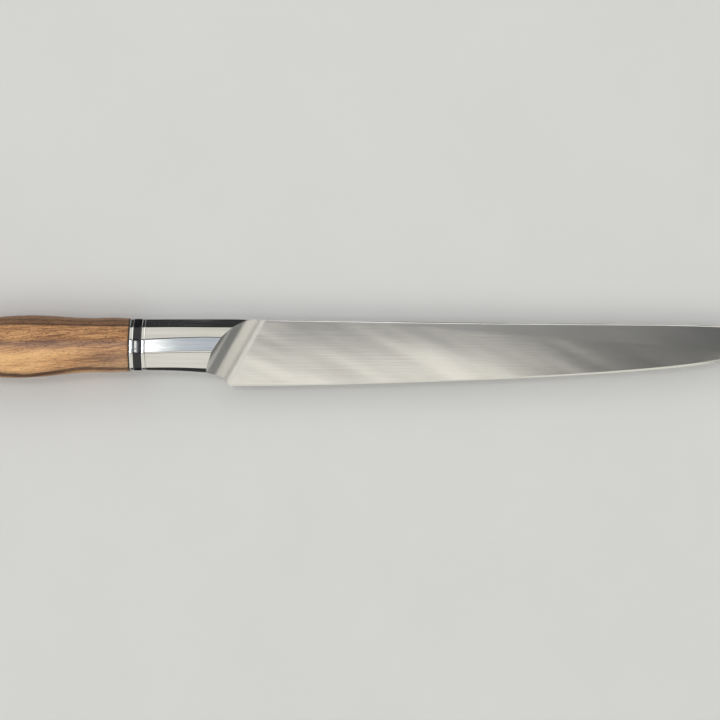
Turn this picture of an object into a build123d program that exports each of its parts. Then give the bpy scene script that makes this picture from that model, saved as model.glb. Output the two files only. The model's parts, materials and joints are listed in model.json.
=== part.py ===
from build123d import *

import os
from math import cos, radians, sin, tan

os.makedirs("parts", exist_ok=True)

# A boning knife that lies on its side. +X points at the tip, +Y at the spine and +Z up, out of the
# side of the blade. The origin is under the middle of the bounding box, on the surface it lies on.
# Side-view values are in mm, x from the heel corner towards the tip and y up from the grip's axis.

# Blade: outline
blade_length = 203.0
tip_y = 3.4
heel_drop = 14.35
spine_rise = 8.75
edge_points = [(60, -13.25), (110, -11.2), (150, -8.5), (175, -5.2)]
edge_tangents = [(1, 0), (1, 0.45)]
spine_points = [(60, 8.1), (130, 7.35), (165, 6.9)]
spine_tangents = [(1, -0.01), (1, -0.22)]

# Blade: half thicknesses of the flat grind, and the second flat that thins the spine at the point
stock_half = 1.6
spine_half = 1.15
heel_edge_half = 0.2
far_point = (170.0, 6.6)
far_half = 0.84
swedge_line = [(58.0, 7.9), (172.0, -1.9)]
swedge_depth = 0.3
edge_angle = 22.0
edge_cut = 6.0

# Heel: the concave curve from under the bolster down to the heel corner
heel_points = [(-9.0, -9.6), (-4.9, -10.35), (-1.4, -11.95), (0.0, -heel_drop)]
heel_tangents = [(1, -0.08), (0.5, -1)]

# Ramp, ground from the bolster down on to the blade. Its end runs up from the heel corner.
ramp_lean = 29.5
ramp_end_x0 = heel_drop * tan(radians(ramp_lean))
ramp_radius = 12.2
ramp_lip = 0.12
ramp_reach = 40.0

# Tang and the rod that carries it on to the butt
tang_top = 6.5
tang_bottom = -7.5
tang_shoulder_x = -14.0
tang_step = 0.1
tang_height = 9.0
tang_half = 1.1
tang_neck_x = -48.0
tang_neck_height = 4.6
tang_end_x = -56.0
rod_diameter = 5.0
rod_end_gap = 0.6
bond_gap = 0.7
pocket_end_gap = 2.0

# Section of grip, rings and bolster: a soft-faceted egg, narrower towards the spine. Each corner is
# a height above the bottom and a half width, as fractions. Along the bolster the facets rise.
grip_corners = [(1.0, 0.28), (0.836, 0.66), (0.592, 0.94), (0.326, 1.0), (0.05, 0.72), (0.0, 0.6)]
ramp_corners = [(1.0, 0.28), (0.849, 0.66), (0.656, 0.94), (0.386, 1.0), (0.077, 0.72), (0.0, 0.53)]

# Stations along the axis: x, top, bottom, half width. The bolster's also say how far its section
# has gone over from the grip's to the ramp's.
bolster_rear_x = -28.7
bolster_stations = [
    (bolster_rear_x, 9.15, -8.8, 7.2, 0.0),
    (-18.0, 9.2, -9.05, 7.2, 0.5),
    (-8.0, 9.2, -9.65, 7.2, 1.0),
    (3.0, 9.15, -10.4, 7.2, 1.0),
    (14.0, 8.75, -11.4, 7.2, 1.0),
]
web_half = 3.35
ring_outline = (9.15, -8.9, 7.3)
ring_stack = [("front_collar", 1.2), ("black_ring", 2.9), ("silver_ring", 1.3), ("front_liner", 0.4)]
grip_front_x = bolster_rear_x - sum(thickness for name, thickness in ring_stack)
grip_end_x = -118.0
grip_top = 10.5
grip_half = 8.0
grip_stations = [
    (grip_front_x, 9.35, -9.25, 7.5),
    (-46.5, 9.45, -9.45, 7.5),
    (-58.0, 9.95, -10.25, 7.8),
    (-71.0, 10.4, -11.4, grip_half),
    (-84.0, 9.5, -10.9, 7.8),
    (-98.0, 8.9, -9.9, 7.35),
    (-110.0, 9.7, -10.8, 7.7),
    (grip_end_x, grip_top, -11.6, grip_half),
]
butt_liner_thick = 0.8
butt_front_x = grip_end_x - butt_liner_thick
butt_x = -127.5
butt_stations = [
    (butt_front_x, 10.4, -11.5, 7.9),
    (-124.5, 9.8, -10.9, 7.3),
    (butt_x, 7.6, -8.7, 5.6),
]

# Nut and washer, sunk into the butt cap
nut_diameter = 9.0
nut_thick = 3.2
nut_relief = 0.3
washer_thick = 0.8
spanner_hole = 1.3
spanner_spacing = 6.8

# Frame: the heel corner's x, and the grip axis's y and z
heel_x = -(blade_length + butt_x) / 2
axis_y = (heel_drop - grip_top) / 2
axis_z = grip_half
side = Plane(origin=(heel_x, axis_y, axis_z))

# Directions of the ramp: along its straight end, and across it towards the tip
ramp_end = side.from_local_coords((ramp_end_x0, 0, 0))
along_ramp = Vector(sin(radians(ramp_lean)), cos(radians(ramp_lean)), 0)
across_ramp = Vector(cos(radians(ramp_lean)), -sin(radians(ramp_lean)), 0)

# Slopes of the ground side of the blade, up its height and along its length
side_slope = (spine_half - heel_edge_half) / (spine_rise + heel_drop)
far_slope = (far_half - spine_half - (far_point[1] - spine_rise) * side_slope) / far_point[0]


def station(x):
    return Plane(origin=(heel_x + x, axis_y, axis_z), x_dir=(0, 1, 0), z_dir=(1, 0, 0))


def facet_section(top, bottom, half_width, towards_ramp=0.0):
    corners = []
    for (rise, width), (ramp_rise, ramp_width) in zip(grip_corners, ramp_corners):
        rise += towards_ramp * (ramp_rise - rise)
        width += towards_ramp * (ramp_width - width)
        corners.append((bottom + rise * (top - bottom), width * half_width))
    mirrored = [(y, -z) for y, z in reversed(corners)]
    return Polygon(*corners, *mirrored, align=None)


def on_ramp_end(y):
    return (ramp_end_x0 + y * tan(radians(ramp_lean)), y)


def flat_half(x, y):
    return spine_half + x * far_slope + (y - spine_rise) * side_slope


def ground_plane(points, flip):
    first, second, third = [side.from_local_coords((x, y, flip * half)) for x, y, half in points]
    normal = (second - first).cross(third - first)
    if normal.Z * flip < 0:
        normal = -normal
    return Plane(origin=first, x_dir=second - first, z_dir=normal)


flat_corners = [(0, spine_rise), (far_point[0], spine_rise), (0, -heel_drop)]
flat_points = [(x, y, flat_half(x, y)) for x, y in flat_corners]
swedge_points = [(x, y, flat_half(x, y)) for x, y in swedge_line]
swedge_points.append((*far_point, far_half - swedge_depth))

# The front of the tang lies in the bolster's slot, a little below the ground faces. Behind it the
# tang is a plain bar, with a narrower neck that the rod straddles.
with BuildPart() as blade:
    with BuildSketch(side):
        Polygon(
            on_ramp_end(tang_top),
            (tang_shoulder_x, tang_top),
            (tang_shoulder_x, tang_bottom),
            on_ramp_end(tang_bottom),
            align=None,
        )
    extrude(amount=stock_half, both=True)
    for flip in (1, -1):
        split(bisect_by=ground_plane(flat_points, flip).offset(-tang_step), keep=Keep.BOTTOM)
    with BuildSketch(side):
        with BuildLine():
            Spline((0, -heel_drop), *edge_points, (blade_length, tip_y), tangents=edge_tangents)
            Spline(on_ramp_end(spine_rise), *spine_points, (blade_length, tip_y), tangents=spine_tangents)
            Line(on_ramp_end(spine_rise), (0, -heel_drop))
        make_face()
    extrude(amount=stock_half, both=True)
    for flip in (1, -1):
        split(bisect_by=ground_plane(flat_points, flip), keep=Keep.BOTTOM)
        split(bisect_by=ground_plane(swedge_points, flip), keep=Keep.BOTTOM)
    # The cutting edge: what lies below the edge curve is swept up a slant and cut away.
    for flip in (1, -1):
        with BuildSketch(side):
            with BuildLine():
                Spline((0, -heel_drop), *edge_points, (blade_length, tip_y), tangents=edge_tangents)
                Polyline(
                    (blade_length, tip_y),
                    (blade_length, -heel_drop - edge_cut),
                    (-edge_cut, -heel_drop - edge_cut),
                    (-edge_cut, -heel_drop),
                    (0, -heel_drop),
                )
            make_face()
        slant = (0, cos(radians(edge_angle)), flip * sin(radians(edge_angle)))
        extrude(amount=edge_cut, dir=slant, mode=Mode.SUBTRACT)
    with BuildSketch(side):
        with Locations(((tang_shoulder_x + tang_neck_x) / 2, 0)):
            Rectangle(tang_shoulder_x - tang_neck_x, tang_height)
        with Locations(((tang_neck_x + tang_end_x) / 2, 0)):
            Rectangle(tang_neck_x - tang_end_x, tang_neck_height)
    extrude(amount=tang_half, both=True)
blade.part.label = "blade"
export_step(blade.part, "parts/blade.step")

# The bolster is a barrel with a web below it that follows the heel curve. Both sides are ground
# away by a cylinder whose axis runs along the ramp's end and follows the ground side of the blade.
with BuildPart() as bolster:
    for x, *outline in bolster_stations:
        with BuildSketch(station(x)):
            facet_section(*outline)
    loft()
    with BuildSketch(side):
        with BuildLine():
            Spline(*heel_points, tangents=heel_tangents)
            Polyline(heel_points[-1], on_ramp_end(0), (heel_points[0][0], 0), heel_points[0])
        make_face()
    extrude(amount=web_half, both=True)
    split(bisect_by=Plane(origin=ramp_end, z_dir=across_ramp), keep=Keep.BOTTOM)
    axis_rise = flat_half(ramp_end_x0, 0) + ramp_lip + ramp_radius
    axis_slope = along_ramp.X * far_slope + along_ramp.Y * side_slope
    for flip in (1, -1):
        axis_point = ramp_end + Vector(0, 0, flip * axis_rise)
        axis_direction = along_ramp + Vector(0, 0, flip * axis_slope)
        with BuildSketch(Plane(origin=axis_point, z_dir=axis_direction)):
            Circle(ramp_radius)
        extrude(amount=ramp_reach, both=True, mode=Mode.SUBTRACT)
    add(blade.part, mode=Mode.SUBTRACT)
bolster.part.label = "bolster"
export_step(bolster.part, "parts/bolster.step")

# Rings between bolster and grip, from the front to the rear
ring_x = bolster_rear_x
for name, thickness in ring_stack:
    ring_x -= thickness
    with BuildPart() as ring:
        with BuildSketch(station(ring_x)):
            facet_section(*ring_outline)
            Rectangle(tang_height, 2 * tang_half, mode=Mode.SUBTRACT)
        extrude(amount=thickness)
    ring.part.label = name
    export_step(ring.part, f"parts/{name}.step")

# The rod's front is slotted, and is welded over the neck of the tang.
rod_end_x = butt_x + nut_relief + rod_end_gap
with BuildPart() as tang_rod:
    with BuildSketch(station(rod_end_x)):
        Circle(rod_diameter / 2)
    extrude(amount=tang_neck_x - rod_end_x)
    add(blade.part, mode=Mode.SUBTRACT)
tang_rod.part.label = "tang_rod"
export_step(tang_rod.part, "parts/tang_rod.step")

# The grip is drilled from end to end for the rod, and broached from the front for the tang.
pocket_x = tang_end_x - pocket_end_gap
pocket_height = tang_height + 2 * bond_gap
pocket_width = 2 * (tang_half + bond_gap)
bore_diameter = rod_diameter + 2 * bond_gap
with BuildPart() as handle:
    for x, *outline in grip_stations:
        with BuildSketch(station(x)):
            facet_section(*outline)
    loft()
    with BuildSketch(station(grip_end_x)):
        Circle(bore_diameter / 2)
    extrude(amount=grip_front_x - grip_end_x, mode=Mode.SUBTRACT)
    with BuildSketch(station(pocket_x)):
        Rectangle(pocket_height, pocket_width)
    extrude(amount=grip_front_x - pocket_x, mode=Mode.SUBTRACT)
handle.part.label = "handle"
export_step(handle.part, "parts/handle.step")

# Epoxy fills what the tang and the rod leave of the bore and the pocket.
with BuildPart() as tang_bond:
    with BuildSketch(station(grip_end_x)):
        Circle(bore_diameter / 2)
    extrude(amount=grip_front_x - grip_end_x)
    with BuildSketch(station(pocket_x)):
        Rectangle(pocket_height, pocket_width)
    extrude(amount=grip_front_x - pocket_x)
    add(blade.part, mode=Mode.SUBTRACT)
    add(tang_rod.part, mode=Mode.SUBTRACT)
tang_bond.part.label = "tang_bond"
export_step(tang_bond.part, "parts/tang_bond.step")

with BuildPart() as butt_liner:
    with BuildSketch(station(butt_front_x)):
        facet_section(*butt_stations[0][1:])
        Circle(rod_diameter / 2, mode=Mode.SUBTRACT)
    extrude(amount=butt_liner_thick)
butt_liner.part.label = "butt_liner"
export_step(butt_liner.part, "parts/butt_liner.step")

# The butt cap is domed, with a counterbore for the washer and the nut.
nut_x = butt_x + nut_relief
washer_x = nut_x + nut_thick
seat_x = washer_x + washer_thick
with BuildPart() as butt_cap:
    for x, *outline in butt_stations:
        with BuildSketch(station(x)):
            facet_section(*outline)
    loft()
    with BuildSketch(station(butt_x)):
        Circle(rod_diameter / 2)
    extrude(amount=butt_front_x - butt_x, mode=Mode.SUBTRACT)
    with BuildSketch(station(butt_x)):
        Circle(nut_diameter / 2)
    extrude(amount=seat_x - butt_x, mode=Mode.SUBTRACT)
butt_cap.part.label = "butt_cap"
export_step(butt_cap.part, "parts/butt_cap.step")

with BuildPart() as lock_washer:
    with BuildSketch(station(washer_x)):
        Circle(nut_diameter / 2)
        Circle(rod_diameter / 2, mode=Mode.SUBTRACT)
    extrude(amount=washer_thick)
lock_washer.part.label = "lock_washer"
export_step(lock_washer.part, "parts/lock_washer.step")

with BuildPart() as tang_nut:
    with BuildSketch(station(nut_x)):
        Circle(nut_diameter / 2)
        Circle(rod_diameter / 2, mode=Mode.SUBTRACT)
    extrude(amount=nut_thick)
    with BuildSketch(station(nut_x)):
        with Locations((spanner_spacing / 2, 0), (-spanner_spacing / 2, 0)):
            Circle(spanner_hole / 2)
    extrude(amount=nut_thick / 2, mode=Mode.SUBTRACT)
tang_nut.part.label = "tang_nut"
export_step(tang_nut.part, "parts/tang_nut.step")
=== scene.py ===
import json
import math
from contextlib import contextmanager

import bmesh
import bpy
from mathutils import Matrix, Vector


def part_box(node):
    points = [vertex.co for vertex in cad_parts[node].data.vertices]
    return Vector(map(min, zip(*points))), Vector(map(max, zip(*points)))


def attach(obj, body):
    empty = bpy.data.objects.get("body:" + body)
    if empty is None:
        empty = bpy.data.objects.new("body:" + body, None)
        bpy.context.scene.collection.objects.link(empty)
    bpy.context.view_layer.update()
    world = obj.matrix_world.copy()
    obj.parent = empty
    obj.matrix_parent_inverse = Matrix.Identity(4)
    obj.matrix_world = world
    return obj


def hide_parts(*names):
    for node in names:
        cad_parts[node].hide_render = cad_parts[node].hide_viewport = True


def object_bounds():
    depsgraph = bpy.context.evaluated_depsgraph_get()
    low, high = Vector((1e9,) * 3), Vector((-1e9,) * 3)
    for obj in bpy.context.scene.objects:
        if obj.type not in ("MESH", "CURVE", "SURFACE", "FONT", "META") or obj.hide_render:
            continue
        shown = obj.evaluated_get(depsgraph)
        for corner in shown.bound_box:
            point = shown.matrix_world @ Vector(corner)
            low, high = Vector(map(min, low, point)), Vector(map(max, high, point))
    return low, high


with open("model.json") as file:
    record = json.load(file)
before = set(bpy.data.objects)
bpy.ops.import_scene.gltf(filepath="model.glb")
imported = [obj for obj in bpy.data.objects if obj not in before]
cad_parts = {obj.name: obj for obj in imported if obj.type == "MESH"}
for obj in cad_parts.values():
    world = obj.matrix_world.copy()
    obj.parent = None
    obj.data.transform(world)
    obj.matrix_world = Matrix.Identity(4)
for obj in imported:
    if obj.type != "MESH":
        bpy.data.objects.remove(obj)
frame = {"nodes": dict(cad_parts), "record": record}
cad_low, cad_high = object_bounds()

# Lengths are in millimetres and become metres at the edge of each helper. Side-view values are x
# from the heel corner towards the tip and y up from the grip's axis, as in the CAD model.
MM = 0.001

rod_low, rod_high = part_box("tang_rod")
heel_vertex = min(frame["nodes"]["blade"].data.vertices, key=lambda vertex: vertex.co.y)
ORIGIN = Vector((heel_vertex.co.x, (rod_low.y + rod_high.y) / 2, (rod_low.z + rod_high.z) / 2))
ROD_RADIUS = (rod_high.z - rod_low.z) / 2 / MM
# How far inside a CAD piece's end its end section is measured
JUST_INSIDE = 0.02

# The egg-shaped section of grip, rings and bolster: heights above the bottom and half widths, as
# fractions, at the grip and at the ramp
GRIP_CORNERS = [(1.0, 0.28), (0.836, 0.66), (0.592, 0.94), (0.326, 1.0), (0.05, 0.72), (0.0, 0.6)]
RAMP_CORNERS = [(1.0, 0.28), (0.849, 0.66), (0.656, 0.94), (0.386, 1.0), (0.077, 0.72), (0.0, 0.53)]
# How far a corner's rounding reaches along the facets beside it, as a share of them, and on steel
# at most in mm
STEEL_SOFTNESS = 0.1
WOOD_SOFTNESS = 0.4
STEEL_REACH = 0.55
CORNER_STEPS = 6

# Blade: the rounding of the spine's corners, the swell of the sides, and the rows and columns of
# points that the swell needs
SPINE_ROUNDING = 0.5
SPINE_STEPS = 6
SPINE_END_X = 185.0
SWELL_DEPTH = 0.13
SWELL_START_Y = -5.0
SWELL_REACH = 13.75
SWELL_FADE = 12.0
ROW_PITCH = 1.5
ROW_SHIFT = 0.2
COLUMN_PITCH = 4.0

# Bolster barrel: from a section measured at BARREL_X, it goes on to sections given by x, top and bottom
BARREL_X = -18.0
BARREL_FRONT_X = 14.0
BARREL_SECTIONS = [(-8.0, 9.2, -9.65), (3.0, 9.15, -10.4), (BARREL_FRONT_X, 8.75, -11.4)]
BARREL_STEPS = 60
BARREL_EASING = 0.12

# Bolster ramp, and the web at the heel, whose lower edge is a curve through points with slopes
FULL_RAMP_X = -8.0
RAMP_LEAN = math.radians(29.5)
RAMP_RADIUS = 12.2
RAMP_DIP = 0.015
RAMP_STEPS = 96
WEB_HALF = 3.35
WEB_REAR_X = -8.9
HEEL_STEPS = 10
HEEL_POINTS = [(-9.0, -9.6), (-4.9, -10.35), (-1.4, -11.95), (0.0, -14.35)]
HEEL_SLOPES = [(4.0, -0.3), (3.9, -1.1), (2.4, -2.1), (1.3, -2.4)]
RAMP_END_X0 = -HEEL_POINTS[-1][1] * math.tan(RAMP_LEAN)

# What the tang and its pocket take up
TANG_HEIGHT = 9.0
TANG_WIDTH = 2.2
POCKET_X = -58.0
POCKET_WIDTH = 3.6

# Rings, grip and cap. A ring's eased rim is given as shares of its width, along the axis and inwards
RIM_CORNER = [(0.0, 1.0), (0.3, 0.28), (1.0, 0.0)]
CROWN_STEPS = 5
GRIP_STEPS = 150
GRIP_EASING = 0.25
CAP_ROUNDING = 0.9
CAP_ROUNDING_STEPS = 8
CAP_STEPS = 40
CAP_EASING = 0.1
COUNTERBORE_CHAMFER = 0.4
TURNED_STEPS = 64

# Stage. The view's middle is a side-view x and y, and the ramp faces RAMP_SLANT off the axis
CAMERA_HEIGHT = 600.0
VIEW_WIDTH = 252.0
VIEW_MIDDLE = (45.85, -5.25)
FLOOR_HALF = 30000.0
CARD_DISTANCE = 1400.0
RAMP_SLANT = math.radians(33)
ROOM_LIGHT = 0.15
ROOM_DARK = 0.045
# Bright parts of the room: a direction, the cosines at which each starts and is full, and its strength
ROOM_LIGHTS = [
    ((-0.97, -0.25, 0.0), 0.4, 0.6, 0.85),
    ((0.5, -0.84, 0.2), 0.9, 0.97, 0.45),
    ((-0.62, 0.68, 0.4), 0.88, 0.96, 0.45),
]


def at(x, y, z=0.0):
    return ORIGIN + Vector((x, y, z)) * MM


def local_x(x):
    return (x - ORIGIN.x) / MM


# ---------------------------------------------------------------- mesh helpers


def new_object(name, mesh):
    piece = bpy.data.objects.new(name, mesh)
    bpy.context.scene.collection.objects.link(piece)
    return piece


@contextmanager
def editing(mesh):
    """A mesh opened for editing, and written back at the end."""
    shape = bmesh.new()
    shape.from_mesh(mesh)
    yield shape
    shape.to_mesh(mesh)
    shape.free()


def mesh_object(name, points, faces):
    mesh = bpy.data.meshes.new(name)
    mesh.from_pydata([tuple(p) for p in points], [], faces)
    with editing(mesh) as shape:
        bmesh.ops.recalc_face_normals(shape, faces=shape.faces)
    return new_object(name, mesh)


def loft(name, loops):
    """A closed skin over a row of loops that all have the same number of points."""
    count = len(loops[0])
    points = [p for loop in loops for p in loop]
    faces = []
    for row in range(len(loops) - 1):
        for i in range(count):
            j = (i + 1) % count
            a, b = row * count, (row + 1) * count
            faces.append((a + i, a + j, b + j, b + i))
    faces.append(tuple(reversed(range(count))))
    faces.append(tuple(range((len(loops) - 1) * count, len(loops) * count)))
    return mesh_object(name, points, faces)


def prism(name, outline, push):
    """A prism from an outline of points, swept by a vector."""
    return loft(name, [outline, [p + push for p in outline]])


def carve(piece, cutter, operation="DIFFERENCE"):
    """Cuts cutter out of piece, or joins the two, and removes the cutter."""
    change = piece.modifiers.new("carve", "BOOLEAN")
    change.operation = operation
    change.solver = "EXACT"
    change.object = cutter
    apply_modifiers(piece)
    bpy.data.objects.remove(cutter)


def apply_modifiers(piece):
    graph = bpy.context.evaluated_depsgraph_get()
    finished = bpy.data.meshes.new_from_object(piece.evaluated_get(graph))
    piece.modifiers.clear()
    piece.data = finished


def bevel_edges(shape, width, chosen, steps, clamp=True):
    """Rounds the edges that chosen(edge) picks."""
    edges = [edge for edge in shape.edges if len(edge.link_faces) == 2 and chosen(edge)]
    bmesh.ops.bevel(
        shape,
        geom=edges,
        offset=width * MM,
        segments=steps,
        profile=0.5,
        affect="EDGES",
        clamp_overlap=clamp,
    )


def drop_flat_edges(shape, angle, **limits):
    """Welds doubled points, and drops edges that turn by less than an angle in degrees."""
    bmesh.ops.remove_doubles(shape, verts=shape.verts, dist=1e-6)
    turn = math.radians(angle)
    bmesh.ops.dissolve_limit(shape, angle_limit=turn, verts=shape.verts, edges=shape.edges, **limits)


def smooth(piece, weighted=True):
    """Shades a piece smooth, with normals that favour its large facets unless weighted is off."""
    for face in piece.data.polygons:
        face.use_smooth = True
    if weighted:
        change = piece.modifiers.new("facets", "WEIGHTED_NORMAL")
        change.keep_sharp = True
        change.weight = 80
        apply_modifiers(piece)


def turns_past(edge, angle):
    return len(edge.link_faces) == 2 and edge.calc_face_angle(0) > math.radians(angle)


def mark_sharp(piece, angle):
    """Keeps a crease at each edge that turns by more than an angle in degrees."""
    with editing(piece.data) as shape:
        for edge in shape.edges:
            edge.smooth = not turns_past(edge, angle)


# ---------------------------------------------------------------- sections


def slice_outline(node, x):
    """Top, bottom and half width, in mm, of a CAD node's section at x."""
    shape = bmesh.new()
    shape.from_mesh(frame["nodes"][node].data)
    geometry = shape.verts[:] + shape.edges[:] + shape.faces[:]
    cut = bmesh.ops.bisect_plane(shape, geom=geometry, plane_co=at(x, 0), plane_no=(1, 0, 0))
    points = [item.co - ORIGIN for item in cut["geom_cut"] if isinstance(item, bmesh.types.BMVert)]
    top = max(p.y for p in points) / MM
    bottom = min(p.y for p in points) / MM
    half = max(p.z for p in points) / MM
    shape.free()
    return (x, top, bottom, half)


def slices(node, count):
    """Evenly spaced outlines of a CAD node, from its rear to its front."""
    low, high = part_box(node)
    rear, front = local_x(low.x) + JUST_INSIDE, local_x(high.x) - JUST_INSIDE
    return [slice_outline(node, rear + (front - rear) * i / (count - 1)) for i in range(count)]


def curve_weights(t):
    """The weights of a curve's start, first slope, end and last slope, at t from 0 to 1 along it."""
    return 2 * t**3 - 3 * t**2 + 1, t**3 - 2 * t**2 + t, -2 * t**3 + 3 * t**2, t**3 - t**2


def smooth_between(outlines, x):
    """An outline at x, on a smooth curve through the given ones."""
    last = len(outlines) - 1
    i = 0
    while i < last - 1 and x > outlines[i + 1][0]:
        i += 1
    before, start, end, after = (outlines[max(0, min(last, i + k))] for k in (-1, 0, 1, 2))
    step = end[0] - start[0]
    a, b, c, d = curve_weights((x - start[0]) / step)
    values = [x]
    for k in (1, 2, 3):
        slope_start = (end[k] - before[k]) / (end[0] - before[0]) * step
        slope_end = (after[k] - start[k]) / (after[0] - start[0]) * step
        values.append(a * start[k] + b * slope_start + c * end[k] + d * slope_end)
    return tuple(values)


def section(outline, softness, inset=0.0, towards_ramp=0.0):
    """The egg-shaped loop at an outline, with rounded corners, made smaller all round by an inset."""
    x, top, bottom, half = outline
    top, bottom, half = top - inset, bottom + inset, half - inset
    corners = []
    for grip_corner, ramp_corner in zip(GRIP_CORNERS, RAMP_CORNERS):
        rise, width = Vector(grip_corner).lerp(Vector(ramp_corner), towards_ramp)
        corners.append(Vector((bottom + rise * (top - bottom), width * half)))
    corners += [Vector((p.x, -p.y)) for p in reversed(corners)]
    loop = []
    for i, corner in enumerate(corners):
        before, after = corners[i - 1], corners[(i + 1) % len(corners)]
        reach = softness * min((before - corner).length, (after - corner).length)
        if softness == STEEL_SOFTNESS:
            reach = min(reach, STEEL_REACH)
        start = corner + (before - corner).normalized() * reach
        end = corner + (after - corner).normalized() * reach
        for k in range(CORNER_STEPS + 1):
            t = k / CORNER_STEPS
            p = start * (1 - t) ** 2 + corner * 2 * t * (1 - t) + end * t**2
            loop.append(at(x, p.x, p.y))
    return loop


def flush_ends(loops, low, high):
    """Sets the end loops exactly on the ends of a CAD piece's box."""
    loops[0] = [Vector((low.x, p.y, p.z)) for p in loops[0]]
    loops[-1] = [Vector((high.x, p.y, p.z)) for p in loops[-1]]


# ---------------------------------------------------------------- pieces


def spine_edge(edge):
    """Whether an edge is a corner of the spine, between the ramp and the slender end."""
    normals = [face.normal for face in edge.link_faces]
    tops = [n for n in normals if n.y > 0.9]
    sides = [n for n in normals if abs(n.z) > 0.9]
    middle = (edge.verts[0].co + edge.verts[1].co) / 2
    in_reach = at(RAMP_END_X0, 0).x < middle.x < at(SPINE_END_X, 0).x
    return len(tops) == 1 and len(sides) == 1 and in_reach


def cut_across(shape, plane_point, plane_normal):
    geometry = shape.verts[:] + shape.edges[:] + shape.faces[:]
    bmesh.ops.bisect_plane(shape, geom=geometry, plane_co=plane_point, plane_no=plane_normal, dist=1e-6)


def swell(shape):
    """Makes the ground sides very slightly convex, by thinning them towards the spine."""
    for vertex in shape.verts:
        x, y = local_x(vertex.co.x), (vertex.co.y - ORIGIN.y) / MM
        past_ramp = x - RAMP_END_X0 - y * math.tan(RAMP_LEAN)
        if past_ramp > 0.01:
            fade = min(1.0, past_ramp / SWELL_FADE)
            across = (y - SWELL_START_Y) / SWELL_REACH
            z = vertex.co.z - ORIGIN.z
            thinning = min(SWELL_DEPTH * max(0.0, across) ** 2 * MM, abs(z) * 0.5)
            vertex.co.z -= math.copysign(thinning * fade * fade * (3 - 2 * fade), z)


def crease_blade(shape):
    """Creases every edge that turns at all, but on the spine only the sharp ones."""
    for edge in shape.edges:
        on_spine = min(face.normal.y for face in edge.link_faces) > -0.1
        edge.smooth = not turns_past(edge, 24 if on_spine else 0.6)


def make_blade():
    """The CAD blade, its ground sides a little convex and its spine's corners rounded."""
    piece = new_object("knife_blade", frame["nodes"]["blade"].data.copy())
    with editing(piece.data) as shape:
        drop_flat_edges(shape, 0.3, delimit={"NORMAL"})
        bevel_edges(shape, SPINE_ROUNDING, spine_edge, SPINE_STEPS, clamp=False)
        crease_blade(shape)
        for row in range(-9, 8):
            cut_across(shape, at(0, row * ROW_PITCH + ROW_SHIFT), (0, 1, 0))
        for column in range(1, 50):
            cut_across(shape, at(column * COLUMN_PITCH, 0), (1, 0, 0))
        swell(shape)
    smooth(piece)
    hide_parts("blade")
    return piece


def ground_frame(flip):
    """A point on the ramp's end, and unit vectors along the end, across it and out of the ground side."""
    mount = next(m for m in frame["record"]["mounts"] if m["name"] == "blade_side")
    normal = Vector(mount["axis"]).normalized()
    on_face = Vector(mount["pos_m"])

    def raised(x, y):
        point = at(x, y)
        lean = (point.x - on_face.x) * normal.x + (point.y - on_face.y) * normal.y
        point.z = on_face.z - lean / normal.z
        return point

    rise = 10
    base = raised(RAMP_END_X0, 0)
    top = raised(RAMP_END_X0 + rise * math.tan(RAMP_LEAN), rise)
    along = (top - base).normalized()
    across = along.cross(normal).normalized()
    if flip < 0:
        for vector in (base, along, across, normal):
            vector.z = -vector.z
        base.z += 2 * ORIGIN.z
    return base, along, across, normal


def ramp_cutter(flip):
    """What the wheel grinds away: a quarter cylinder tangent to the blade's side, and all beyond it."""
    base, along, across, out = ground_frame(flip)
    clear = 30.0
    past_end = 2.0
    profile = []
    for step in range(RAMP_STEPS + 1):
        angle = step / RAMP_STEPS * math.pi / 2
        profile.append((-RAMP_RADIUS * math.sin(angle), RAMP_RADIUS * (1 - math.cos(angle)) - RAMP_DIP))
    profile += [(-RAMP_RADIUS, clear), (clear, clear), (clear, -past_end), (0.0, -past_end)]
    start = base - along * clear * MM
    outline = [start + across * u * MM + out * v * MM for u, v in profile]
    return prism("ramp_cutter", outline, along * 2 * clear * MM)


def heel_web():
    """The web under the barrel, whose lower edge is the heel curve."""
    curve = []
    for i in range(len(HEEL_POINTS) - 1):
        p, q = Vector(HEEL_POINTS[i]), Vector(HEEL_POINTS[i + 1])
        m, n = Vector(HEEL_SLOPES[i]), Vector(HEEL_SLOPES[i + 1])
        for step in range(HEEL_STEPS):
            a, b, c, d = curve_weights(step / HEEL_STEPS)
            curve.append(p * a + m * b + q * c + n * d)
    outline = curve + [Vector(HEEL_POINTS[-1]), Vector((RAMP_END_X0, 0.0)), Vector((WEB_REAR_X, 0.0))]
    low = [at(p.x, p.y, -WEB_HALF) for p in outline]
    return prism("heel_web", low, Vector((0, 0, 2 * WEB_HALF * MM)))


def make_bolster():
    """The mirror-polished barrel, and the satin ramp that is ground into both its sides."""
    rear = local_x(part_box("bolster")[0].x)
    rear_outline = (rear, *slice_outline("bolster", rear + JUST_INSIDE)[1:])
    outlines = [rear_outline, slice_outline("bolster", BARREL_X)]
    outlines += [(*edges, rear_outline[3]) for edges in BARREL_SECTIONS]
    start = rear + BARREL_EASING
    loops = [section(rear_outline, STEEL_SOFTNESS, BARREL_EASING)]
    for i in range(BARREL_STEPS):
        x = start + (BARREL_FRONT_X - start) * i / (BARREL_STEPS - 1)
        towards_ramp = min(1.0, (x - rear) / (FULL_RAMP_X - rear))
        loops.append(section(smooth_between(outlines, x), STEEL_SOFTNESS, 0.0, towards_ramp))
    piece = loft("bolster_body", loops)
    carve(piece, heel_web(), "UNION")
    for flip in (1, -1):
        carve(piece, ramp_cutter(flip))
    return piece


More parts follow.
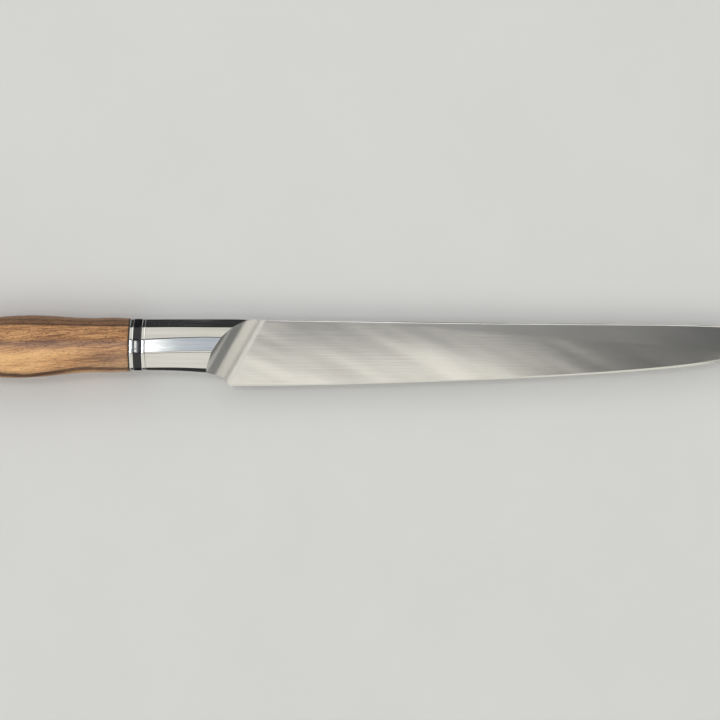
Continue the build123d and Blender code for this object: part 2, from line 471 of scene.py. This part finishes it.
def ramp_faces(piece):
    """The faces that lie on either grinding cylinder."""
    tolerance = 0.05
    found = []
    for flip in (1, -1):
        base, along, across, out = ground_frame(flip)
        centre = base + out * (RAMP_RADIUS - RAMP_DIP) * MM
        for face in piece.data.polygons:
            offset = face.center - centre
            away = (offset - along * offset.dot(along)).length / MM
            if abs(away - RAMP_RADIUS) < tolerance and (face.center.z - ORIGIN.z) * flip > 0:
                found.append(face.index)
    return found


def finish_bolster(piece, polished, satin):
    """Satin on the ramp's faces and polish on the rest."""
    piece.data.materials.append(polished)
    piece.data.materials.append(satin)
    for index in ramp_faces(piece):
        piece.data.polygons[index].material_index = 1
    mark_sharp(piece, angle=24)
    smooth(piece)
    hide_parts("bolster")


def bar(rear, front, height, width):
    """A bar along the axis, from one x to another."""
    corners = [(-height, -width), (height, -width), (height, width), (-height, width)]
    outline = [at(rear, y / 2, z / 2) for y, z in corners]
    return prism("bar", outline, Vector((front - rear, 0, 0)) * MM)


def turned(profile):
    """A turned solid about the axis, from pairs of x and radius."""
    angles = [2 * math.pi * i / TURNED_STEPS for i in range(TURNED_STEPS)]
    loops = []
    for x, radius in profile:
        loops.append([at(x, radius * math.cos(angle), radius * math.sin(angle)) for angle in angles])
    return loft("turned", loops)


def make_ring(node, rim, crown, hole):
    """A ring of the stack, with its rims eased by rim and its middle raised by crown."""
    low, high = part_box(node)
    rear, front = local_x(low.x), local_x(high.x)
    outline = slice_outline(node, (rear + front) / 2)[1:]
    places = [(rear + rim * along, crown + rim * inwards) for along, inwards in RIM_CORNER]
    for step in range(1, CROWN_STEPS):
        across = step / CROWN_STEPS
        places.append((rear + rim + (front - rear - 2 * rim) * across, crown * (2 * across - 1) ** 2))
    places += [(front - rim * along, crown + rim * inwards) for along, inwards in reversed(RIM_CORNER)]
    piece = loft(node + "_shaped", [section((x, *outline), STEEL_SOFTNESS, inset) for x, inset in places])
    carve(piece, hole)
    mark_sharp(piece, angle=50)
    smooth(piece)
    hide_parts(node)
    return piece


def make_front_ring(node, rim, crown):
    """A ring with a slot for the tang."""
    low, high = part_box(node)
    slot = bar(local_x(low.x) - 1, local_x(high.x) + 1, TANG_HEIGHT, TANG_WIDTH)
    return make_ring(node, rim, crown, slot)


def make_butt_liner():
    """The liner at the butt, with a hole for the rod."""
    low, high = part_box("butt_liner")
    hole = turned([(local_x(low.x) - 1, ROD_RADIUS), (local_x(high.x) + 1, ROD_RADIUS)])
    return make_ring("butt_liner", rim=0.06, crown=0.0, hole=hole)


def make_butt_cap():
    """The domed cap, its end edge rounded and its counterbore chamfered."""
    low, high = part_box("butt_cap")
    rear, front = local_x(low.x), local_x(high.x)
    outlines = slices("butt_cap", 9)
    loops = []
    for step in range(CAP_ROUNDING_STEPS):
        angle = step / CAP_ROUNDING_STEPS * math.pi / 2
        x = rear + CAP_ROUNDING * (1 - math.cos(angle))
        inset = CAP_ROUNDING * (1 - math.sin(angle))
        loops.append(section(smooth_between(outlines, x), STEEL_SOFTNESS, inset))
    start, end = rear + CAP_ROUNDING, front - CAP_EASING
    for i in range(CAP_STEPS):
        x = start + (end - start) * i / (CAP_STEPS - 1)
        loops.append(section(smooth_between(outlines, x), STEEL_SOFTNESS))
    loops.append(section(smooth_between(outlines, front), STEEL_SOFTNESS, CAP_EASING))
    flush_ends(loops, low, high)
    piece = loft("butt_cap_shaped", loops)
    nut_low, nut_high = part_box("tang_nut")
    bore = (nut_high.z - nut_low.z) / 2 / MM
    seat = local_x(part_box("lock_washer")[1].x)
    hole = [(rear - 1, bore + COUNTERBORE_CHAMFER + 1), (rear + COUNTERBORE_CHAMFER, bore), (seat, bore)]
    hole += [(seat, ROD_RADIUS), (front + 1, ROD_RADIUS)]
    carve(piece, turned(hole))
    mark_sharp(piece, angle=40)
    smooth(piece)
    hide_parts("butt_cap")
    return piece


def make_softened(node, width):
    """A copy of a turned CAD piece, its edges broken."""
    piece = new_object(node + "_softened", frame["nodes"][node].data.copy())
    with editing(piece.data) as shape:
        drop_flat_edges(shape, 1)
        bevel_edges(shape, width, lambda edge: turns_past(edge, 50), steps=2)
    mark_sharp(piece, angle=40)
    smooth(piece)
    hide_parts(node)
    return piece


def make_handle():
    """The contoured walnut grip, a hair inside the CAD grip, with its bore and the tang's pocket."""
    outlines = slices("handle", 15)
    low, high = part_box("handle")
    rear, front = local_x(low.x), local_x(high.x)
    start, end = rear + GRIP_EASING, front - GRIP_EASING
    hair = 0.02
    loops = [section(smooth_between(outlines, rear), WOOD_SOFTNESS, GRIP_EASING)]
    for i in range(GRIP_STEPS):
        x = start + (end - start) * i / (GRIP_STEPS - 1)
        loops.append(section(smooth_between(outlines, x), WOOD_SOFTNESS, hair))
    loops.append(section(smooth_between(outlines, front), WOOD_SOFTNESS, GRIP_EASING))
    flush_ends(loops, low, high)
    piece = loft("walnut_grip", loops)
    bond_low, bond_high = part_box("tang_bond")
    bore = (bond_high.z - bond_low.z) / 2 / MM
    carve(piece, turned([(rear - 1, bore), (front + 1, bore)]))
    carve(piece, bar(POCKET_X, front + 1, (bond_high.y - bond_low.y) / MM, POCKET_WIDTH))
    mark_sharp(piece, angle=60)
    smooth(piece, weighted=False)
    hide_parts("handle")
    return piece


# ---------------------------------------------------------------- materials


def socket_name(word):
    """A Principled socket's name from a keyword, as Coat Weight from coat_weight and IOR from ior."""
    return word if word.isupper() else word.replace("_", " ").title().replace("Ior", "IOR")


class Nodes:
    """A node tree, with short calls for the nodes that materials and room share."""

    def __init__(self, tree):
        self.tree = tree
        self.tree.nodes.clear()

    def add(self, kind, links=None, **settings):
        node = self.tree.nodes.new(kind)
        for name, value in settings.items():
            setattr(node, name, value)
        for socket, value in (links or {}).items():
            self.feed(node.inputs[socket], value)
        return node

    def feed(self, socket, value):
        if isinstance(value, bpy.types.NodeSocket):
            self.tree.links.new(value, socket)
        else:
            socket.default_value = value

    def math(self, operation, a, b=0.0):
        return self.add("ShaderNodeMath", {0: a, 1: b}, operation=operation).outputs[0]

    def plus(self, a, b):
        return self.math("ADD", a, b)

    def times(self, a, b):
        return self.math("MULTIPLY", a, b)

    def span(self, value, low, high, to_low=0.0, to_high=1.0):
        links = {"Value": value, "From Min": low, "From Max": high, "To Min": to_low, "To Max": to_high}
        return self.add("ShaderNodeMapRange", links).outputs["Result"]


class Recipe(Nodes):
    """A material's nodes. Textures use mm."""

    def __init__(self, name, **sockets):
        self.material = bpy.data.materials.new(name)
        self.material.use_nodes = True
        super().__init__(self.material.node_tree)
        self.output = self.tree.nodes.new("ShaderNodeOutputMaterial")
        self.shader = self.tree.nodes.new("ShaderNodeBsdfPrincipled")
        self.tree.links.new(self.shader.outputs["BSDF"], self.output.inputs["Surface"])
        for socket, value in sockets.items():
            self.shader.inputs[socket_name(socket)].default_value = value
        self.place = self.add("ShaderNodeTexCoord").outputs["Object"]

    def grid(self, per_mm, turn=0.0):
        """Coordinates in repeats per mm along x, y and z, turned in the side view by turn degrees."""
        links = {"Vector": self.place, "Rotation": (0, 0, math.radians(turn))}
        turned_place = self.add("ShaderNodeMapping", links).outputs["Vector"]
        links = {"Vector": turned_place, "Scale": tuple(value / MM for value in per_mm)}
        return self.add("ShaderNodeMapping", links).outputs["Vector"]

    def noise(self, per_mm, detail, rough=0.5, warp=0.0, turn=0.0):
        links = {"Vector": self.grid(per_mm, turn), "Scale": 1.0, "Detail": detail}
        links.update({"Roughness": rough, "Distortion": warp})
        return self.add("ShaderNodeTexNoise", links).outputs["Fac"]

    def colours(self, factor, stops):
        """A colour for each factor, from stops of a factor and its colour."""
        node = self.add("ShaderNodeValToRGB", {"Fac": factor})
        while len(node.color_ramp.elements) < len(stops):
            node.color_ramp.elements.new(0.5)
        for element, (place, colour) in zip(node.color_ramp.elements, stops):
            element.position = place
            element.color = (*colour, 1.0)
        return node.outputs["Color"]

    def blend(self, factor, a, b):
        """Colour a at factor 0 and b at 1."""
        node = self.add("ShaderNodeMix", data_type="RGBA")
        self.feed(node.inputs[0], factor)
        self.feed(node.inputs[6], a)
        self.feed(node.inputs[7], b)
        return node.outputs[2]

    def bump(self, *layers):
        """Bumps in turn, each a height from 0 to 1 and its size in mm."""
        normal = None
        for height, size in layers:
            links = {"Height": height, "Distance": size * MM, "Strength": 1.0}
            if normal is not None:
                links["Normal"] = normal
            normal = self.add("ShaderNodeBump", links).outputs["Normal"]
        self.feed(self.shader.inputs["Normal"], normal)

    def set(self, **links):
        """Feeds the shader's sockets, and gives the finished material."""
        for socket, value in links.items():
            self.feed(self.shader.inputs[socket_name(socket)], value)
        return self.material


def satin_steel(name, roughness, cloud_depth):
    """Steel ground along its length, so that it blurs what it mirrors across the grooves."""
    recipe = Recipe(name, metallic=1.0)
    cloud = recipe.noise((0.012, 0.05, 0.05), 2.0, turn=24)
    lines = recipe.noise((0.03, 4.0, 4.0), 5.0, 0.7)
    tone = recipe.plus(recipe.times(cloud, 0.6), recipe.times(lines, 0.4))
    colour = recipe.colours(tone, [(0.3, (0.62, 0.61, 0.585)), (0.7, (0.69, 0.68, 0.65))])
    rough = recipe.span(recipe.plus(cloud, lines), 0.6, 1.4, roughness, roughness * 1.4)
    recipe.bump((cloud, cloud_depth), (lines, 0.007))
    return recipe.set(base_color=colour, roughness=rough)


def polished_steel(name):
    """Mirror-polished steel with long faint buffing lines and hairline scratches."""
    recipe = Recipe(name, metallic=1.0)
    waves = recipe.noise((0.03, 0.6, 0.6), 2.0, 0.5)
    hairs = recipe.noise((0.05, 9.0, 9.0), 4.0, 0.7)
    colour = recipe.colours(waves, [(0.3, (0.60, 0.60, 0.585)), (0.7, (0.69, 0.685, 0.66))])
    rough = recipe.span(hairs, 0.35, 0.75, 0.04, 0.09)
    recipe.bump((waves, 0.022), (hairs, 0.0004))
    return recipe.set(base_color=colour, roughness=rough)


def turned_steel():
    """Plain turned steel of rod, washer and nut."""
    recipe = Recipe("turned_steel", metallic=1.0)
    lines = recipe.noise((6.0, 0.8, 0.8), 4.0, 0.6)
    colour = recipe.colours(lines, [(0.3, (0.48, 0.48, 0.47)), (0.7, (0.6, 0.6, 0.58))])
    recipe.bump((lines, 0.002))
    return recipe.set(base_color=colour, roughness=recipe.span(lines, 0.3, 0.7, 0.2, 0.34))


def gloss_black():
    """Gloss black resin with buffing haze."""
    recipe = Recipe("gloss_black_resin", ior=1.5)
    haze = recipe.noise((0.8, 2.5, 2.5), 4.0, 0.6)
    colour = recipe.colours(haze, [(0.3, (0.006, 0.006, 0.008)), (0.75, (0.014, 0.014, 0.017))])
    recipe.bump((haze, 0.004))
    return recipe.set(base_color=colour, roughness=recipe.span(haze, 0.3, 0.7, 0.08, 0.2))


def dark_fibre():
    """Vulcanised fibre of the thin liners."""
    recipe = Recipe("dark_fibre")
    grain = recipe.noise((4.0, 4.0, 4.0), 5.0, 0.7)
    colour = recipe.colours(grain, [(0.3, (0.018, 0.015, 0.013)), (0.75, (0.045, 0.037, 0.03))])
    recipe.bump((grain, 0.01))
    return recipe.set(base_color=colour, roughness=recipe.span(grain, 0.3, 0.7, 0.45, 0.65))


def cured_epoxy():
    """Amber epoxy round the tang."""
    recipe = Recipe("cured_epoxy", ior=1.5)
    haze = recipe.noise((0.5, 0.5, 0.5), 3.0, 0.6)
    colour = recipe.colours(haze, [(0.3, (0.32, 0.22, 0.10)), (0.75, (0.46, 0.36, 0.2))])
    recipe.bump((haze, 0.02))
    return recipe.set(base_color=colour, roughness=recipe.span(haze, 0.3, 0.7, 0.25, 0.45))


class Walnut(Recipe):
    """Oiled walnut's noises, and where on the grip painted light and painted shade fall. Lengths and
    heights are side-view mm.
    """

    def __init__(self):
        super().__init__("walnut", ior=1.48, coat_weight=0.1, coat_roughness=0.25)
        place = self.add("ShaderNodeSeparateXYZ", {"Vector": self.place}).outputs
        self.length = self.times(self.plus(place["X"], -ORIGIN.x), 1 / MM)
        self.height = self.times(self.plus(place["Y"], -ORIGIN.y), 1 / MM)
        self.drift = self.noise((0.015, 0.07, 0.07), 2.0, 0.5)
        self.figure = self.noise((0.02, 0.3, 0.3), 5.0, 0.6, 0.5, turn=-4)
        self.slant = self.noise((0.07, 1.1, 1.1), 4.0, 0.6, 0.8, turn=-7)
        self.fibre = self.noise((0.16, 3.4, 3.4), 4.0, 0.7)
        self.pores = self.noise((0.9, 4.2, 4.2), 2.0, 0.5, turn=-3)
        # Painted light: the near end of the belly is made lighter and warmer, as if lit from the left.
        self.painted_light_patch = self.times(self.span(self.length, -48.0, -66.0), self.span(self.height, 0.0, -3.5))
        # Painted shade: the belly just in front of it is made darker and greyer.
        self.shade = self.times(self.span(self.length, -56.0, -40.0), self.span(self.height, -1.0, -4.0))

    def ground(self):
        """The wood's colour, with painted light at the near end of the belly and painted shade, greyer,
        in front of it.
        """
        tone = self.plus(self.times(self.figure, 0.36), self.times(self.fibre, 0.36))
        for part, weight in (
            (self.slant, 0.28),
            (self.drift, 0.1),
            (self.painted_light_patch, 0.08),
            (self.shade, -0.015),
        ):
            tone = self.plus(tone, self.times(part, weight))
        browns = [
            (0.43, (0.17, 0.068, 0.026)),
            (0.49, (0.38, 0.168, 0.062)),
            (0.55, (0.60, 0.30, 0.122)),
            (0.63, (0.86, 0.48, 0.21)),
            (0.69, (0.97, 0.57, 0.25)),
        ]
        colour = self.colours(tone, browns)
        # Painted shade: blends towards a greyer brown in front of the lit belly.
        return self.blend(self.times(self.shade, 0.42), colour, (0.30, 0.21, 0.16, 1.0))

    def streak(self, colour):
        """A purplish streak that wanders along the axis."""
        wander = self.times(self.plus(self.drift, -0.5), 3.0)
        off_streak = self.math("ABSOLUTE", self.plus(self.plus(self.height, wander), -0.3))
        streak = self.span(self.plus(off_streak, self.times(self.slant, 1.4)), 2.3, 0.9)
        return self.blend(self.times(streak, 0.55), colour, (0.19, 0.115, 0.1, 1.0))

    def painted_shade_bands(self, colour):
        """Painted shade: darker along the top facet and under the belly, with a painted dark line where
        each starts.
        """
        along = self.plus(self.math("MINIMUM", self.length, -47.5), 71.0)
        swing = self.math("COSINE", self.times(along, 2 * math.pi / 47))
        top = self.plus(self.plus(self.height, self.times(swing, -0.25)), self.times(self.figure, 0.7))
        belly = self.plus(self.plus(self.height, self.times(swing, 1.3)), self.figure)
        belly = self.plus(belly, self.times(self.plus(self.slant, -0.5), 1.6))
        # Painted shade on the top facet, which faces away from the light.
        colour = self.blend(self.span(top, 7.2, 7.6, 0.0, 0.74), colour, (0.14, 0.072, 0.04, 1.0))
        # Painted shade under the near end of the belly, which faces the floor.
        rear_share = self.span(self.length, -48.0, -60.0, 0.0, 0.78)
        under = self.times(self.span(belly, -6.9, -8.7), rear_share)
        colour = self.blend(under, colour, (0.19, 0.08, 0.036, 1.0))
        # Painted shade lines where the facets turn, at the top and at the belly.
        for line, at_height, reach, depth in (
            (top, 7.35, 0.45, 0.85),
            (top, 8.9, 0.4, 0.5),
            (belly, -8.9, 0.8, 0.85),
        ):
            near = self.math("ABSOLUTE", self.plus(line, -at_height))
            near = self.plus(near, self.times(self.plus(self.fibre, -0.5), 0.9))
            mark = self.span(near, reach, reach * 0.3, 0.0, depth)
            colour = self.blend(mark, colour, (0.065, 0.028, 0.015, 1.0))
        return colour

    def open_pores(self):
        """1 in the open pores and 0 between them, with more pores towards the top."""
        grain = self.plus(self.pores, self.times(self.span(self.height, -1.0, 2.0), 0.035))
        # Fewer pores where the painted light falls.
        return self.span(self.plus(grain, self.times(self.painted_light_patch, -0.03)), 0.59, 0.67)


def walnut():
    """Oiled walnut: long figure, a purplish streak, open pores and fine fibre, with painted light at the
    belly and painted shade with dark painted lines along the top and under the belly.
    """
    wood = Walnut()
    pits = wood.open_pores()
    colour = wood.painted_shade_bands(wood.streak(wood.ground()))
    colour = wood.blend(wood.times(pits, 0.75), colour, (0.06, 0.028, 0.016, 1.0))
    wood.bump((wood.fibre, 0.012), (wood.math("SUBTRACT", 1.0, pits), 0.03))
    return wood.set(base_color=colour, roughness=wood.span(wood.fibre, 0.3, 0.7, 0.34, 0.48))


def pale_floor():
    """Matt, nearly even pale grey."""
    recipe = Recipe("pale_floor", specular_ior_level=0.1)
    grain = recipe.noise((0.02, 0.02, 0.02), 4.0, 0.6)
    colour = recipe.colours(grain, [(0.3, (0.84, 0.84, 0.83)), (0.7, (0.86, 0.86, 0.85))])
    return recipe.set(base_color=colour, roughness=recipe.span(grain, 0.3, 0.7, 0.85, 0.95))


# ---------------------------------------------------------------- stage


def make_floor():
    half, z = FLOOR_HALF * MM, cad_low.z
    corners = [(-half, -half, z), (half, -half, z), (half, half, z), (-half, half, z)]
    floor = mesh_object("floor", corners, [(0, 1, 2, 3)])
    floor.data.materials.append(pale_floor())


def place_card(name, out, sideways, angles, radiance, colour):
    """A rectangular light that faces the heel and spans two angles. The camera doesn't see it."""
    light = bpy.data.lights.new(name, "AREA")
    light.shape = "RECTANGLE"
    distance = CARD_DISTANCE * MM
    light.size, light.size_y = (2 * distance * math.tan(math.radians(angle) / 2) for angle in angles)
    light.energy = radiance * math.pi * light.size * light.size_y
    light.color = colour
    lamp = new_object(name, light)
    lamp.location = ORIGIN + out * distance
    lamp.rotation_mode = "QUATERNION"
    lamp.rotation_quaternion = Matrix((sideways, out.cross(sideways), out)).transposed().to_quaternion()
    lamp.visible_camera = False


def card(name, across, up, radiance, colour):
    """A card that spans angles across (towards the tip) and up (over towards the spine), in degrees
    from straight overhead."""
    middle_across = math.radians(sum(across) / 2)
    middle_up = math.radians(sum(up) / 2)
    flat = math.cos(middle_across)
    out = Vector((math.sin(middle_across), flat * math.sin(middle_up), flat * math.cos(middle_up)))
    upward = Vector((0, math.cos(middle_up), -math.sin(middle_up)))
    sideways = upward.cross(out)
    place_card(name, out, sideways, (across[1] - across[0], up[1] - up[0]), radiance, colour)


def card_on_slant(name, along, half, radiance, colour):
    """A card that the ramp mirrors. It lies beyond the tip and towards the cutting edge, from one
    angle off straight overhead to another, and it is half degrees wide to either side."""
    sideways = Vector((math.sin(RAMP_SLANT), math.cos(RAMP_SLANT), 0))
    away = sideways.cross(Vector((0, 0, 1)))
    middle = math.radians(sum(along) / 2)
    out = away * math.sin(middle) + Vector((0, 0, math.cos(middle)))
    place_card(name, out, sideways, (2 * half, along[1] - along[0]), radiance, colour)


def make_room():
    """A dim room with broad bright parts, and dark behind the spine and behind the cutting edge."""
    room = bpy.data.worlds.new("room")
    room.use_nodes = True
    nodes = Nodes(room.node_tree)
    towards = nodes.add("ShaderNodeTexCoord").outputs["Generated"]
    axes = nodes.add("ShaderNodeSeparateXYZ", {"Vector": towards}).outputs
    sideways = nodes.span(nodes.math("ABSOLUTE", axes["Y"]), 0.8, 0.88)
    in_line = nodes.span(nodes.math("ABSOLUTE", axes["X"]), 0.42, 0.3)
    level = nodes.span(nodes.times(sideways, in_line), 0.0, 1.0, ROOM_LIGHT, ROOM_DARK)
    for middle, start, full, strength in ROOM_LIGHTS:
        links = {0: towards, 1: middle}
        cosine = nodes.add("ShaderNodeVectorMath", links, operation="DOT_PRODUCT").outputs["Value"]
        level = nodes.plus(level, nodes.span(cosine, start, full, 0.0, strength))
    links = {"Color": (0.97, 0.985, 1.0, 1.0), "Strength": level}
    background = nodes.add("ShaderNodeBackground", links).outputs["Background"]
    nodes.add("ShaderNodeOutputWorld", {"Surface": background})
    return room


def make_lights():
    """Soft cards for each band that the steel mirrors, and the room round them. Where cards overlap,
    their light adds up, and that makes a gradient."""
    warm, cool, plain = (1.0, 0.97, 0.88), (0.8, 0.89, 1.0), (1.0, 0.98, 0.95)
    card("spine_side", (-18, 8), (42, 62), 0.8, warm)
    card("spine_line", (-1, 26), (26, 74), 1.2, plain)
    card("overhead", (-35, 12), (6, 26), 0.62, cool)
    card("glow", (-16, -8.3), (4, 22), 0.7, plain)
    card("glow_edge", (-16, -7.5), (4, 22), 0.3, plain)
    card("centre", (-35, 9.3), (-16.5, 6), 0.27, plain)
    card("over_tip", (9.3, 17), (-2.5, 8), 0.16, plain)
    for top, right, radiance in ((-3.2, 10.4, 0.24), (-4.6, 11.6, 0.28), (-5.5, 13.4, 0.4)):
        card("edge_near", (-35, right), (-16.5, top), radiance, warm)
    card("edge_side", (-35, 25), (-58, -26), 0.82, warm)
    card("bulb", (-14, -9.6), (7, 14), 24, plain)
    card_on_slant("tip_side", (20, 58), 6, 1.0, warm)
    card_on_slant("tip_horizon", (60, 88), 14, 0.05, plain)
    bpy.context.scene.world = make_room()


def make_camera():
    """Straight above, spine up in the picture, framed so that the butt and the tip run off its sides."""
    data = bpy.data.cameras.new("camera")
    data.lens = data.sensor_width * CAMERA_HEIGHT / VIEW_WIDTH
    camera = new_object("camera", data)
    camera.location = at(*VIEW_MIDDLE, CAMERA_HEIGHT)
    bpy.context.scene.camera = camera


def paint(node, material):
    """Gives a CAD node that is kept as it is its material."""
    mesh = frame["nodes"][node].data
    mesh.materials.clear()
    mesh.materials.append(material)


make_camera()
make_floor()
make_lights()
bpy.context.scene.view_settings.view_transform = "Standard"

satin = satin_steel("satin_steel", roughness=0.11, cloud_depth=0.24)
ramp_satin = satin_steel("ramp_satin_steel", roughness=0.2, cloud_depth=0.05)
mirror = polished_steel("mirror_steel")
black = gloss_black()
fibre = dark_fibre()
machined = turned_steel()

blade = make_blade()
bolster = make_bolster()
finish_bolster(bolster, mirror, ramp_satin)
painted = [
    (blade, satin, "blade_steel"),
    (make_front_ring("front_collar", rim=0.08, crown=0.02), mirror, "ring_steel"),
    (make_front_ring("black_ring", rim=0.12, crown=0.04), black, "black_resin"),
    (make_front_ring("silver_ring", rim=0.08, crown=0.02), mirror, "ring_steel"),
    (make_front_ring("front_liner", rim=0.05, crown=0.0), fibre, "liner_fibre"),
    (make_handle(), walnut(), "walnut"),
    (make_butt_liner(), fibre, "liner_fibre"),
    (make_butt_cap(), mirror, "bolster_steel"),
    (make_softened("lock_washer", width=0.08), machined, "rod_steel"),
    (make_softened("tang_nut", width=0.12), machined, "nut_steel"),
    (make_softened("tang_rod", width=0.25), machined, "rod_steel"),
]
for piece, material, slot in painted:
    piece.data.materials.clear()
    piece.data.materials.append(material)
    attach(piece, "root")
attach(bolster, "root")
paint("tang_bond", cured_epoxy())
